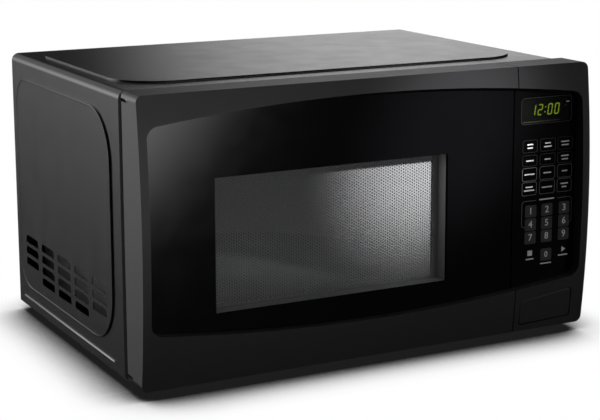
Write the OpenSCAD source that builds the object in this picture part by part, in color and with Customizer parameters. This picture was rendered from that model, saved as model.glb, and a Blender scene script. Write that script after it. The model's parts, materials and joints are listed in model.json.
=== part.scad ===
// Countertop microwave oven, left-hinged door with a push-button latch.
// Millimetres. X to the right, the front faces -Y, Z up from the table.
// The origin is at the bottom centre of the whole oven.

/* [Overall] */
// Width of the front frame
body_w = 448; // [440:1:540]
// Height of the front frame, without the feet
body_h = 249; // [249:1:300]
// Depth of the steel casing behind the door
case_d = 292; // [292:1:360]
// Height of the feet
feet_h = 9; // [6:0.5:15]
// Radius of a foot
foot_r = 12; // [8:1:16]

/* [Door and front] */
// Width of the door
door_w = 369.5; // [350:0.5:420]
// Thickness of the front at its top and bottom edges
door_t = 33.5; // [32:0.5:41]
// How far the front bulges at half height
door_bulge = 8; // [4:1:14]
// Gap between the door and the casing
door_gap = 2.5; // [2.2:0.1:4]
// Gap between the door and the control panel
seam = 1; // [0.8:0.1:2]
// Corner radius of the front frame
front_r = 6; // [3:1:10]
// Width of the frame at each side of the recessed opening
side_frame = 7.5; // [7:0.5:16]
// Width of the frame above the opening, at the middle
top_frame = 13; // [10:1:20]
// Width of the frame below the opening, at the middle
bottom_frame = 34.5; // [24:1:40]
// How far the opening's upper and lower edges curve
arch_rise = 14; // [8:1:18]
// Corner radius of the opening
arch_r = 11; // [6:1:20]
// Depth of the glass behind the front edge plane
glass_set = 4.5; // [3:0.5:7]
// Thickness of the glass and of the keypad overlay
glass_t = 3; // [2:0.5:4]

/* [Casing] */
// Thickness of the sheet steel
sheet = 0.8; // [0.5:0.1:1.2]
// Outer radius of the casing's upper edges
case_r = 7; // [4:0.5:12]
// Step from the front frame in to the casing
case_inset = 2; // [1.8:0.1:4]
// Height of the raised fields on the sides and top
emboss = 1.5; // [0.8:0.1:1.7]
// Length of a side vent slot
vent_l = 35; // [20:1:38]
// Height of a side vent slot
vent_h = 7.5; // [6:0.5:9]

/* [Cavity] */
// Width of the cooking cavity
cav_w = 315; // [290:1:320]
// Height of the cooking cavity
cav_h = 200; // [180:1:205]
// Depth of the cooking cavity
cav_d = 281; // [270:1:282]
// Height of the cavity floor above the frame's lower edge
cav_lift = 22; // [20:1:24]

/* [Turntable] */
// Radius of the glass tray
tray_r = 127.5; // [110:0.5:132]
// Radius of the circle that the rollers run on
track_r = 97; // [80:1:100]
// Radius of a roller
roller_r = 7.5; // [6.5:0.5:9]

/* [Controls] */
// Stroke of the door button
press = 5; // [3:0.5:5]
// Radius of the fan blades
fan_r = 40; // [30:1:42]

/* [Hidden] */
$fn = 64;
eps = 0.01;
fit = 0.3;
run_fit = 0.06;
screw_head = 2;

// Levels and planes
z_low = feet_h;
z_top = feet_h + body_h;
z_mid = feet_h + body_h / 2;
y_back = (case_d + door_gap + door_t + door_bulge) / 2;
y_case = y_back - case_d;
y_door = y_case - door_gap;
y_edge = y_door - door_t;
y_nose = y_edge - door_bulge;
y_glass = y_edge + glass_set;
y_web = y_glass + glass_t;
web_t = 3;
y_pocket = y_web + web_t;
bulge_r = (pow(body_h / 2, 2) + pow(door_bulge, 2)) / (2 * door_bulge);

// Casing
case_x = body_w / 2 - case_inset;
case_in = case_x - sheet;
case_z = z_top - 1.8;
y_flange = y_back - screw_head;
y_panel = y_flange - 2 * sheet;
plate_t = 0.8;
y_plate = y_case + plate_t;
plate_x = case_in - fit;
plate_z = case_z - sheet - fit;
flange_w = 14;
base_z = z_low + sheet;

// Opening in the front frame
arch_x = body_w / 2 - side_frame;
arch_top = z_top - top_frame;
arch_low = z_low + bottom_frame;
big_r = (pow(arch_x, 2) + pow(arch_rise, 2)) / (2 * arch_rise);

// Door and cavity, on one centre line
door_x0 = -body_w / 2;
door_x1 = door_x0 + door_w;
panel_x0 = door_x1 + seam;
panel_x1 = body_w / 2;
cav_x = door_x0 + door_w / 2;
cav_x0 = cav_x - cav_w / 2;
cav_x1 = cav_x + cav_w / 2;
cav_z0 = z_low + cav_lift;
cav_z1 = cav_z0 + cav_h;
cav_y0 = y_plate;
cav_y1 = cav_y0 + cav_d;
bay_x = cav_x1 + sheet;

// Door inside
wall = 3.5;
door_in_x0 = door_x0 + 5;
door_in_x1 = door_x1 - wall;
in_z0 = z_low + wall;
in_z1 = z_top - wall;
choke_x = 9;
choke_z = 17;
y_screen = y_door - 12;
screen_t = 0.6;
cover_t = 2;
y_cover = y_door - cover_t;
band_depth = 3;

// Hinges, mirrored about the middle height
hinge_x = door_x0 + 8;
hinge_y = y_door - 8;
hinge_pin_r = 3;
bush_r = 4.5;
arm_z = z_top - 8;
arm_t = 2;
arm_w = 7;
boss_h = 13;
boss_w = 15;
corner_r = 3;

// Latch
hook_x = door_x1 - 15;
hook_w = 8;
hook_h = 8;
tooth_h = 6;
tooth_l = 8;
hook_y = y_plate + 23.2;
hook_z = [z_low + 51, z_low + 191];
hook_front = y_pocket + 3.5;
bar_t = 6;
lift_room = press + 1;

// Release lever and door button
lever_y = y_plate + 5.2;
lever_z = z_low + 35;
lever_r = 4;
pin_r = 2;
rod_w = 6;
rod_x = panel_x0 + 6;
rod_z = z_low + 16;
rod_end = y_plate + 3;
button_x0 = panel_x0 + 5.5;
button_x1 = panel_x1 - 14;
button_r = 3;
button_back = y_pocket - 1.5;

// Interlock switches
switch_l = 20;
switch_d = 10;
switch_w = 6.4;
switch_pitch = 7;
plunger_r = 1.5;
plunger_l = 4;
plunger_out = 1.7;
y_switch = hook_y + 0.4 + plunger_out;

// Turntable
tt_y = (cav_y0 + cav_y1) / 2;
motor_r = 25;
motor_h = 14.8;
stem_r = 3.5;
floor_t = sheet;
roller_w = 8;
axle_r = 2;
roller_z = cav_z0 + 0.2 + roller_r;
tray_z = roller_z + roller_r + 0.2;
tray_t = 5;
tray_rim = 12;

// Component bay
magnetron = [56, 92, 76];
mag_x0 = bay_x + 31;
mag_x1 = mag_x0 + magnetron[0];
mag_y0 = y_plate + 118;
mag_z0 = z_low + 141;
guide_y = [mag_y0 - 35, mag_y0 + 83];
window_y = [guide_y[0] + 6, guide_y[0] + 70];
guide_z = [z_low + 148, z_low + 206];
antenna_y = mag_y0 + magnetron[1] / 2;
antenna_z = mag_z0 + magnetron[2] / 2;
trans_x = (bay_x + case_in) / 2;
trans_y = y_plate + 105;
trans = [60, 90, 75];
fan_x = (bay_x + case_in) / 2;
fan_z = z_low + 180;
fan_y = mag_y0 + 117;
wire_r = 2.5;
wire_x = case_in - 6.5;

// ---------- helpers ----------

// A box between two opposite corners
module block(p, q) {
    translate(p)
        cube(q - p);
}

// Extrusions of a flat outline between two planes across X, Y or Z
module slab_x(x0, x1) {
    translate([x0, 0, 0])
        rotate([90, 0, 90])
            linear_extrude(x1 - x0)
                children();
}

module slab_y(y0, y1) {
    translate([0, y1, 0])
        rotate([90, 0, 0])
            linear_extrude(y1 - y0)
                children();
}

module slab_z(z0, z1) {
    translate([0, 0, z0])
        linear_extrude(z1 - z0)
            children();
}

// A round bar along X, Y or Z from a start point
module bar_x(p, r, l) {
    translate(p)
        rotate([0, 90, 0])
            cylinder(r = r, h = l);
}

module bar_y(p, r, l) {
    translate(p)
        rotate([-90, 0, 0])
            cylinder(r = r, h = l);
}

module bar_z(p, r, l) {
    translate(p)
        cylinder(r = r, h = l);
}

// Outward normal of the edge from a to b, in an outline that runs anticlockwise
function edge_normal(a, b) = [b[1] - a[1], a[0] - b[0]] / norm(b - a);

// Centre of the rounding of corner p between edges with normals m and n
function corner_centre(p, m, n, r) = p - r * (m + n) / (1 + m * n);

// A convex outline, anticlockwise, with one rounding radius for each corner
module rounded(points, radii) {
    count = len(points);
    normals = [for (i = [0:count - 1]) edge_normal(points[i], points[(i + 1) % count])];
    before = [for (i = [0:count - 1]) normals[(i + count - 1) % count]];
    centres = [for (i = [0:count - 1]) corner_centre(points[i], before[i], normals[i], radii[i])];
    polygon([for (i = [0:count - 1]) for (n = [before[i], normals[i]]) centres[i] + radii[i] * n]);
    for (i = [0:count - 1])
        if (radii[i] > 0)
            translate(centres[i])
                circle(r = radii[i]);
}

// A rectangle between two corners with radii from the lower left, anticlockwise
module rect(a, b, radii = [0, 0, 0, 0]) {
    rounded([a, [b[0], a[1]], b, [a[0], b[1]]], radii);
}

// A vent slot with a flat lower lip and rounded upper corners
module vent(centre) {
    r = vent_h / 2 - 0.25;
    rect(centre - [vent_l, vent_h] / 2, centre + [vent_l, vent_h] / 2, [0.5, 0.5, r, r]);
}

// A slot with round ends, along the first axis
module stadium(centre, l, h) {
    translate(centre) {
        square([l - h, h], center = true);
        for (side = [-1, 1])
            translate([side * (l - h) / 2, 0])
                circle(r = h / 2);
    }
}

// Mirrors its children about the middle height of the front
module about_middle() {
    translate([0, 0, 2 * z_mid])
        mirror([0, 0, 1])
            children();
}

// ---------- front ----------

// The arched opening, drawn smaller by an inset
module arch(inset = 0) {
    half = arch_x - inset;
    r = arch_r - min(inset, arch_r - 2);
    outer = big_r - inset;
    top_c = arch_top - big_r;
    low_c = arch_low + big_r;
    dx = half - r;
    dz = sqrt(pow(outer - r, 2) - pow(dx, 2));
    // Just inside the tangent points, so that the arcs cross cleanly
    touch_x = dx * outer / (outer - r) - 0.5;
    intersection() {
        translate([0, top_c])
            circle(r = outer, $fn = 256);
        translate([0, low_c])
            circle(r = outer, $fn = 256);
        translate([-touch_x, z_low])
            square([2 * touch_x, body_h]);
    }
    translate([-half, low_c - dz])
        square([2 * half, top_c - low_c + 2 * dz]);
    for (side = [-1, 1]) {
        translate([side * dx, top_c + dz])
            circle(r = r);
        translate([side * dx, low_c - dz])
            circle(r = r);
    }
}

// The front surface's place at a height: an arc over the height of the front
function front_y(z) = y_nose + bulge_r - sqrt(pow(bulge_r, 2) - pow(z - z_mid, 2));

// The bulged profile of the front, seen along X, in short flats
module front_profile() {
    flats = 16;
    heights = [for (i = [0:flats]) z_top - i * body_h / flats];
    polygon(concat([[y_door, z_low], [y_door, z_top]], [for (z = heights) [front_y(z), z]]));
}

// The bulged front body between two X planes
module front_body(x0, x1) {
    half = body_w / 2;
    reach = y_nose - 5;
    intersection() {
        slab_x(x0, x1)
            front_profile();
        slab_y(reach, y_door)
            rect([-half, z_low], [half, z_top], [for (i = [0:3]) front_r]);
        slab_z(z_low - 5, z_top + 5)
            rect([-half, reach], [half, y_door], [0, 0, corner_r, corner_r]);
    }
}

module button_outline(inset = 0) {
    rounded([
        [button_x0 + inset, z_low + 5.5 + inset],
        [button_x1 - inset, z_low + 8 + inset],
        [button_x1 - inset, z_low + 36.5 - inset],
        [button_x0 + inset, z_low + 29.5 - inset]
    ], [for (i = [0:3]) button_r]);
}

module hinge_boss() {
    intersection() {
        block([door_x0, y_door - boss_w, arm_z - fit - boss_h],
              [door_x0 + 2 * (hinge_x - door_x0), y_door, arm_z - fit]);
        front_body(door_x0, door_x1);
    }
}

module hinge_cuts() {
    bar_z([hinge_x, hinge_y, arm_z - fit - boss_h + 2], bush_r + 0.05, boss_h);
    block([door_x0 - 1, hinge_y - arm_w, arm_z - fit],
          [hinge_x + arm_w / 2 + 0.5, y_door + 1, arm_z + arm_t + fit]);
}

module door_frame() {
    color("#141416")
        difference() {
            union() {
                difference() {
                    front_body(door_x0, door_x1);
                    slab_y(y_nose - 1, y_web)
                        arch();
                    slab_y(y_web - eps, y_pocket + eps)
                        intersection() {
                            arch(12);
                            rect([door_x0, z_low], [cav_x1 + 4, z_top]);
                        }
                    block([door_in_x0, y_pocket, in_z0], [door_in_x1, y_door + 1, in_z1]);
                    block([door_in_x0, y_edge + band_depth, in_z0],
                          [door_in_x1, y_door + 1, arch_low - 4]);
                }
                slab_y(y_pocket - eps, y_screen)
                    difference() {
                        choke_outline(0);
                        choke_outline(3);
                    }
                for (z = [hook_z[0] + 30, hook_z[1] - 30])
                    block([hook_x - 1, y_pocket - eps, z], [hook_x + hook_w + 1, hook_front - fit, z + 4]);
                hinge_boss();
                about_middle()
                    hinge_boss();
            }
            hinge_cuts();
            about_middle()
                hinge_cuts();
        }
}

module door_glass() {
    color("#08080a")
        slab_y(y_glass, y_web)
            intersection() {
                arch(fit);
                rect([door_x0, z_low], [door_x1 - fit, z_top]);
            }
}

// Outer outline of the choke, drawn smaller by an inset
module choke_outline(inset) {
    rect([cav_x0 - choke_x + inset, cav_z0 - choke_z + inset],
         [cav_x1 + choke_x - inset, cav_z1 + choke_z - inset]);
}

module cavity_outline(inset = 0) {
    rect([cav_x0 + inset, cav_z0 + inset], [cav_x1 - inset, cav_z1 - inset]);
}

module door_screen() {
    color("#2a2a2c")
        slab_y(y_screen, y_screen + screen_t)
            choke_outline(0);
}

module choke_frame() {
    y0 = y_screen + screen_t;
    color("#58585c")
        union() {
            slab_y(y0, y0 + sheet)
                difference() {
                    choke_outline(0);
                    cavity_outline(sheet);
                }
            slab_y(y0, y_cover)
                difference() {
                    choke_outline(0);
                    choke_outline(sheet);
                }
            slab_y(y0, y_cover)
                difference() {
                    cavity_outline(0);
                    cavity_outline(sheet);
                }
        }
}

module choke_cover() {
    margin = fit;
    color("#1c1c1e")
        difference() {
            block([door_in_x0 + margin, y_cover, in_z0 + margin],
                  [door_in_x1 - margin, y_door, in_z1 - margin]);
            slab_y(y_cover - 1, y_door + 1)
                cavity_outline(sheet);
            for (side = [0, 1])
                translate([0, 0, side * (z_top - boss_h - 10 - in_z0)])
                    block([door_x0, y_cover - 1, in_z0],
                          [2 * hinge_x - door_x0 + margin, y_door + 1, in_z0 + boss_h + 7]);
            for (z = hook_z)
                block([hook_x - 1.5, y_cover - 1, z - 1],
                      [hook_x + hook_w + 1.5, y_door + 1, z + hook_h + lift_room]);
        }
}

module inner_window() {
    y0 = y_screen + screen_t;
    color("#30303460")
        slab_y(y0, y0 + 0.5)
            cavity_outline(sheet + fit);
}

// ---------- latch ----------

module latch_hooks() {
    color("#e6e2d8")
        union() {
            block([hook_x, hook_front, hook_z[0] - 6],
                  [hook_x + hook_w, hook_front + bar_t, hook_z[1] + hook_h + 4]);
            for (z = hook_z) {
                block([hook_x, hook_front, z], [hook_x + hook_w, hook_y, z + hook_h]);
                block([hook_x, hook_y - tooth_l, z - tooth_h], [hook_x + hook_w, hook_y, z + hook_h]);
            }
            block([hook_x + 1, hook_front + 1, hook_z[0] - 12],
                  [hook_x + 3, hook_front + bar_t, hook_z[0]]);
        }
}

// A tension spring between the hook bar and the frame's lower wall, shown by its coil space
module latch_spring() {
    z0 = in_z0;
    color("silver")
        difference() {
            bar_z([hook_x + 5.5, hook_front + 3, z0], 2.2, hook_z[0] - 6 - z0);
            bar_z([hook_x + 5.5, hook_front + 3, z0 + 1], 1.5, hook_z[0] - 8 - z0);
        }
}

module latch_board() {
    x0 = bay_x + 3;
    side_t = 3;
    y1 = hook_y + 16;
    low = z_low + 25;
    high = hook_z[1] + 14;
    ledge_y = hook_y - tooth_l - 4.5;
    color("#ddd8ce")
        union() {
            block([x0, y_plate, low], [x0 + side_t, y1, high]);
            block([x0, y_plate, low], [hook_x - 2, y_plate + 2, high]);
            bar_x([x0 + side_t - eps, lever_y, lever_z], pin_r, rod_x + rod_w - x0 - 1);
            for (z = hook_z) {
                under = z - tooth_h - 0.6;
                block([x0, ledge_y - 5, under - 3.4], [hook_x + hook_w, ledge_y, under]);
            }
            block([x0, y_switch, hook_z[0] + 3 - switch_w / 2 - 3],
                  [x0 + switch_l + 2, y_switch + switch_d + 2, hook_z[0] + 3 - switch_w / 2]);
            block([x0, y_switch, hook_z[1] - 5.8 - 3],
                  [x0 + switch_l + 2, y_switch + switch_d + 2, hook_z[1] - 5.8]);
        }
}

// Middle height of each of the three switches
function switch_z(i) = i == 0 ? hook_z[0] + 3 : hook_z[1] - 5.8 + switch_w / 2 + (i - 1) * switch_pitch;

module interlock_switches() {
    x0 = bay_x + 6 + fit;
    color("#202226")
        for (i = [0:2])
            difference() {
                union() {
                    block([x0, y_switch, switch_z(i) - switch_w / 2],
                          [x0 + switch_l, y_switch + switch_d, switch_z(i) + switch_w / 2]);
                    for (k = [0:2])
                        block([x0 + 2 + 7 * k, y_switch + switch_d, switch_z(i) - 0.4],
                              [x0 + 5 + 7 * k, y_switch + switch_d + 5, switch_z(i) + 0.4]);
                }
                bar_y([hook_x + hook_w / 2, y_switch - 1, switch_z(i)], plunger_r + run_fit, 7);
            }
}

module plunger(i) {
    color("#b8322a")
        bar_y([hook_x + hook_w / 2, y_switch - plunger_out, switch_z(i)], plunger_r, plunger_l);
}

module release_lever() {
    x0 = hook_x + 0.5;
    x1 = rod_x + rod_w;
    pad_y = hook_y - tooth_l;
    pad_z = hook_z[0] - tooth_h - 0.5;
    arm = 3;
    color("#d8d2c6")
        difference() {
            union() {
                bar_x([x0, lever_y, lever_z], lever_r, x1 - x0);
                block([x1 - rod_w, lever_y - 2, rod_z - 4], [x1, lever_y + 1, lever_z]);
                block([x0, lever_y, lever_z - 1], [x0 + hook_w - 1, pad_y + 5, lever_z + 2]);
                block([x0, pad_y + 5 - arm, lever_z - 1], [x0 + hook_w - 1, pad_y + 5, pad_z]);
            }
            bar_x([x0 - 1, lever_y, lever_z], pin_r + run_fit, x1 - x0 + 2);
        }
}

module door_button() {
    face_y = y_nose - 1;
    color("#151517")
        union() {
            intersection() {
                slab_y(face_y, button_back)
                    button_outline(fit + 0.1);
                slab_x(button_x0 - 1, button_x1 + 1)
                    front_profile();
            }
            block([rod_x, button_back - 1, rod_z - 3], [rod_x + rod_w, rod_end, rod_z + 3]);
            bar_y([spring_x, button_back - 1, spring_z], 2, 8);
        }
}

spring_x = (button_x0 + button_x1) / 2 + 8;
spring_z = z_low + 20;

// A compression spring between the button and the front plate, shown by its coil space
module button_spring() {
    color("silver")
        difference() {
            bar_y([spring_x, button_back, spring_z], 4.5, y_case - button_back);
            bar_y([spring_x, button_back - 1, spring_z], 3.6, y_case - button_back + 2);
        }
}

// ---------- hinges ----------

module hinge(pin_down) {
    y1 = y_plate + 1.2;
    flange_z = arm_z + arm_t - 24;
    union() {
        block([hinge_x - arm_w / 2, hinge_y, arm_z], [hinge_x + arm_w / 2, y1, arm_z + arm_t]);
        bar_z([hinge_x, hinge_y, arm_z], arm_w / 2, arm_t);
        bar_z([hinge_x, hinge_y, arm_z - pin_down], hinge_pin_r, pin_down + eps);
        block([hinge_x - arm_w / 2, y_plate, flange_z], [hinge_x + 16, y1, arm_z + arm_t]);
    }
}

module hinge_upper() {
    color("#a8aaae")
        hinge(boss_h - 3);
}

module hinge_lower() {
    color("#a8aaae")
        about_middle()
            hinge(boss_h - 3);
}

module bush() {
    z0 = arm_z - fit - boss_h + 2;
    difference() {
        bar_z([hinge_x, hinge_y, z0], bush_r, boss_h - 2.2);
        bar_z([hinge_x, hinge_y, z0 - 1], hinge_pin_r + run_fit, boss_h + 2);
    }
}

module hinge_bushes() {
    color("#f0ece2") {
        bush();
        about_middle()
            bush();
    }
}

// ---------- control panel ----------

module display_outline(inset = 0) {
    rect([panel_x0 + 8.5 + inset, z_low + 195 + inset], [arch_x - 7 - inset, z_low + 217.5 - inset],
         [for (i = [0:3]) 2.5]);
}

module panel_frame() {
    in_x0 = panel_x0 + wall;
    in_x1 = panel_x1 - wall;
    post_y = y_pocket + 6;
    color("#141416")
        difference() {
            union() {
                difference() {
                    front_body(panel_x0, panel_x1);
                    slab_y(y_nose - 1, y_web)
                        arch();
                    slab_y(y_web - eps, y_pocket + eps)
                        intersection() {
                            arch(10);
                            rect([in_x0 + 2, z_low], [panel_x1, z_top]);
                        }
                    block([in_x0, y_pocket, in_z0], [in_x1, y_door + 1, in_z1]);
                }
                for (x = [in_x0 + 4, in_x1 - 4])
                    for (z = [board_z0 + 4, board_z1 - 4])
                        bar_y([x, y_pocket - eps, z], 3, post_y - y_pocket + eps);
                for (x = [in_x0 + 4, in_x1 - 4])
                    block([x - 4, y_pocket - eps, board_z1 + 4], [x + 4, y_case, board_z1 + 8]);
                for (x = [in_x0 + 4, in_x1 - 4])
                    block([x - 4, y_pocket - eps, in_z0 - 1], [x + 4, y_case, in_z0 + 2]);
            }
            slab_y(y_nose - 1, y_door)
                button_outline();
        }
}

board_z0 = z_low + 56;
board_z1 = z_low + 236;
board_y = y_pocket + 6;
board_t = 1.6;

module control_overlay() {
    color("#0a0a0c")
        difference() {
            slab_y(y_glass, y_web)
                intersection() {
                    arch(fit);
                    rect([panel_x0 + fit, z_low], [panel_x1, z_top]);
                }
            slab_y(y_glass - 1, y_web + 1)
                display_outline();
        }
}

module display_lens() {
    color("#1a1c18c0")
        slab_y(y_glass, y_web)
            display_outline(0.1);
}

module keypad_circuit() {
    color("#3a4a3c")
        slab_y(y_web, y_web + 0.4)
            rect([panel_x0 + 7, arch_low + 25], [arch_x - 11, z_low + 182], [for (i = [0:3]) 2]);
}

module control_board() {
    color("#2d5a36")
        block([panel_x0 + wall + 1, board_y, board_z0], [panel_x1 - wall - 1, board_y + board_t, board_z1]);
}

// Display module in front; relays, transformer, buzzer and capacitors behind
module board_parts() {
    x = panel_x0 + wall;
    back = board_y + board_t;
    color("#d8d4c8") {
        block([x + 7, y_web + 0.6, z_low + 195], [x + 50, board_y, z_low + 211]);
        for (k = [0:1])
            block([x + 8 + 24 * k, back, z_low + 195], [x + 27 + 24 * k, back + 12, z_low + 211]);
        block([x + 14, back, z_low + 140], [x + 50, back + 12.5, z_low + 172]);
        bar_y([x + 20, back, z_low + 115], 7, 9);
        for (k = [0:2])
            bar_y([x + 40, back, z_low + 85 + 14 * k], 4, 11);
    }
}

// ---------- casing ----------

// The inverted U of the casing, drawn smaller by an inset
module case_outline(inset, low) {
    half = case_x - inset;
    r = max(case_r - inset, 0);
    rect([-half, low], [half, case_z - inset], [0, 0, r, r]);
}

emb_y = [y_case + 28, y_flange - 16];
emb_z = [z_low + 21, z_low + 227];

module side_field(inset) {
    rect([emb_y[0] + inset, emb_z[0] + inset], [emb_y[1] - inset, emb_z[1] - inset],
         [45 - inset, 28 - inset, 28 - inset, 45 - inset]);
}

module top_field(inset) {
    half = case_x - 18 - inset;
    rect([-half, y_case + 34 + inset], [half, y_flange - 24.5 - inset],
         [45 - inset, 45 - inset, 25 - inset, 25 - inset]);
}

vent_pitch_y = 45.5;
vent_pitch_z = 11;

// The slots of one side: five columns, the outer two with one row less
module side_vents() {
    first_y = (emb_y[0] + emb_y[1]) / 2 - 2 * vent_pitch_y;
    for (col = [0:4])
        for (row = [0:3])
            if (row > 0 || (col > 0 && col < 4))
                vent([first_y + col * vent_pitch_y, emb_z[0] + 16 + row * vent_pitch_z]);
}

screw_points = concat(
    [for (x = [-case_x / 1.5, 0, case_x / 1.5]) [x, case_z - flange_w / 2]],
    [for (x = [-case_x + flange_w / 2, case_x - flange_w / 2]) for (z = [z_low + 60, z_low + 180]) [x, z]]
);

module outer_cabinet() {
    color("#2b2b2e")
        difference() {
            union() {
                slab_y(y_case, y_flange)
                    case_outline(0, z_low);
                slab_x(-case_x - emboss, case_x + emboss)
                    side_field(0);
                slab_z(case_z - 1, case_z + emboss)
                    top_field(0);
                for (side = [-1, 1])
                    bar_y([side * (case_x - 0.5), emb_y[0] + 1, z_low + 9], 1.4, emb_y[1] - emb_y[0] - 2);
            }
            slab_y(y_case - 1, y_flange - sheet)
                case_outline(sheet, z_low - 1);
            slab_x(-case_in - emboss, case_in + emboss)
                side_field(sheet);
            slab_z(z_mid, case_z - sheet + emboss)
                top_field(sheet);
            slab_y(y_flange - 2 * sheet, y_flange + 1)
                case_outline(flange_w, z_low - 1);
            slab_x(-case_x - 5, case_x + 5)
                side_vents();
            for (p = screw_points)
                bar_y([p[0], y_flange - 2, p[1]], 1.7, 4);
        }
}

module base_plate() {
    side = case_in;
    color("#8c8e92")
        difference() {
            union() {
                block([-side, y_plate, z_low], [side, y_panel, base_z]);
                for (s = [-1, 1])
                    translate([s * (side - sheet / 2), 0, 0])
                        block([-sheet / 2, y_plate, z_low], [sheet / 2, y_panel, z_low + 12]);
            }
            for (p = foot_points)
                bar_z([p[0], p[1], z_low - 1], 3.3, 3);
            bar_z([cav_x, tt_y, z_low - 1], 32, 3);
            for (k = [0:4])
                slab_z(z_low - 1, base_z + 1)
                    stadium([trans_x, cap_y + 28 + 9 * k], 40, 4);
        }
}

foot_x = case_x - 32;
foot_points = [for (x = [-foot_x, foot_x]) for (y = [y_case + 26, y_back - 32]) [x, y]];

module feet() {
    color("#101010")
        for (p = foot_points)
            union() {
                bar_z([p[0], p[1], 0], foot_r, feet_h);
                bar_z([p[0], p[1], feet_h - eps], 3, sheet + 1);
                bar_z([p[0], p[1], base_z + 0.1], 4, 2.5);
            }
}

gland_x = case_in - 33;
gland_z = z_low + 26;

module back_panel() {
    color("#3a3a3e")
        difference() {
            slab_y(y_panel, y_panel + sheet)
                case_outline(sheet + fit, base_z - sheet);
            for (p = screw_points)
                bar_y([p[0], y_panel - 1, p[1]], 1.3, 4);
            bar_y([gland_x, y_panel - 1, gland_z], 7.2, 3);
            for (i = [-3:3])
                for (k = [-3:3])
                    bar_y([fan_x + 11 * i, y_panel - 1, fan_z + 11 * k], 3.4, 3);
        }
}

module case_screws() {
    color("#9a9ca0")
        for (p = screw_points)
            union() {
                bar_y([p[0], y_panel - 6, p[1]], 1.25, 6 + 2 * sheet);
                bar_y([p[0], y_flange, p[1]], 3.4, screw_head);
            }
}

module cord_gland() {
    y0 = y_panel - 6;
    color("#0e0e0e")
        difference() {
            union() {
                bar_y([gland_x, y0, gland_z], 7, y_panel - y0 + sheet);
                bar_y([gland_x, y0, gland_z], 9, 6 - 0.1);
                bar_y([gland_x, y_panel + sheet, gland_z], 9, y_back - y_panel - sheet);
            }
            bar_y([gland_x, y0 - 1, gland_z], 4, 20);
        }
}

module front_plate() {
    rod_gap = 1.2;
    color("#6a6c70")
        difference() {
            slab_y(y_case, y_plate)
                rect([-plate_x, z_low], [plate_x, plate_z], [0, 0, case_r - sheet, case_r - sheet]);
            slab_y(y_case - 1, y_plate + 1)
                cavity_outline();
            for (z = hook_z)
                block([hook_x - 1.5, y_case - 1, z - tooth_h - 1],
                      [hook_x + hook_w + 3, y_plate + 1, z + hook_h + lift_room]);
            block([rod_x - rod_gap, y_case - 1, rod_z - 3 - rod_gap],
                  [rod_x + rod_w + rod_gap, y_plate + 1, rod_z + 3 + rod_gap]);
            bar_y([wire_x, y_case - 1, z_low + 100], 5, 3);
            hinge_slot();
            about_middle()
                hinge_slot();
        }
}

module hinge_slot() {
    block([hinge_x - arm_w / 2 - fit, y_case - 1, arm_z - fit],
          [hinge_x + arm_w / 2 + fit, y_plate + 1, arm_z + arm_t + fit]);
}

module cavity_wrap() {
    color("#b9bcc0")
        difference() {
            block([cav_x0 - sheet, cav_y0, cav_z0 - sheet], [cav_x1 + sheet, cav_y1, cav_z1 + sheet]);
            block([cav_x0, cav_y0 - 1, cav_z0 - 2], [cav_x1, cav_y1 + 1, cav_z1]);
            block([cav_x1 - 1, window_y[0], guide_z[0] + 6], [cav_x1 + 2, window_y[1], guide_z[1] - 6]);
            for (i = [0:3])
                for (k = [0:2])
                    bar_x([cav_x1 - 1, lamp_y - 24 + 6 * i, cav_z1 - 22 + 6 * k], 2, 3);
        }
}

module cavity_floor() {
    color("#aeb1b5")
        difference() {
            block([cav_x0, cav_y0, cav_z0 - floor_t], [cav_x1, cav_y1, cav_z0]);
            bar_z([cav_x, tt_y, cav_z0 - 2], 9, 4);
        }
}

module cavity_back() {
    color("#b4b7bb")
        difference() {
            block([cav_x0 - sheet, cav_y1, cav_z0 - sheet], [cav_x1 + sheet, cav_y1 + sheet, cav_z1 + sheet]);
            for (i = [0:5])
                for (k = [0:3])
                    bar_y([cav_x0 + 20 + 7 * i, cav_y1 - 1, cav_z1 - 40 + 7 * k], 2, 3);
        }
}

// ---------- turntable ----------

module turntable_motor() {
    top = cav_z0 - floor_t;
    color("#c6c8cc")
        difference() {
            union() {
                bar_z([cav_x, tt_y, top - motor_h], motor_r, motor_h);
                slab_z(top - 1, top)
                    difference() {
                        stadium([cav_x, tt_y], 72, 14);
                        for (side = [-1, 1])
                            translate([cav_x + side * 30, tt_y])
                                circle(r = 2);
                    }
            }
            bar_z([cav_x, tt_y, top - 8], stem_r + run_fit, 10);
        }
}

module motor_cover() {
    color("#8c8e92")
        bar_z([cav_x, tt_y, z_low], 31.7, sheet);
}

lug_r = 19;

module turntable_coupler() {
    color("#e8e4da")
        union() {
            bar_z([cav_x, tt_y, cav_z0 - floor_t - 7], stem_r, 12);
            bar_z([cav_x, tt_y, cav_z0 + 2], 8, tray_z - cav_z0 - 2.6);
            for (k = [0:2])
                translate([cav_x, tt_y, 0])
                    rotate([0, 0, 120 * k])
                        block([0, -3.5, cav_z0 + 6], [lug_r, 3.5, tray_z - 0.6]);
        }
}

module roller_ring() {
    color("#d5d0c4")
        union() {
            difference() {
                bar_z([cav_x, tt_y, roller_z - 3.2], track_r - roller_w / 2 - 1, 6.4);
                bar_z([cav_x, tt_y, roller_z - 4], track_r - roller_w / 2 - 9, 8);
            }
            for (k = [0:2])
                at_roller(k) {
                    bar_x([-roller_w / 2 - 2, 0, 0], axle_r, roller_w + 3);
                    bar_x([roller_w / 2 + 0.3, 0, 0], 3.2, 1.5);
                }
        }
}

// Places its children at one roller, with X along the roller's axle
module at_roller(k) {
    translate([cav_x, tt_y, roller_z])
        rotate([0, 0, 90 + 120 * k])
            translate([track_r, 0, 0])
                children();
}

module roller(k) {
    color("#f2efe8")
        at_roller(k)
            difference() {
                bar_x([-roller_w / 2, 0, 0], roller_r, roller_w);
                bar_x([-roller_w, 0, 0], axle_r + run_fit, 2 * roller_w);
            }
}

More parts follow.
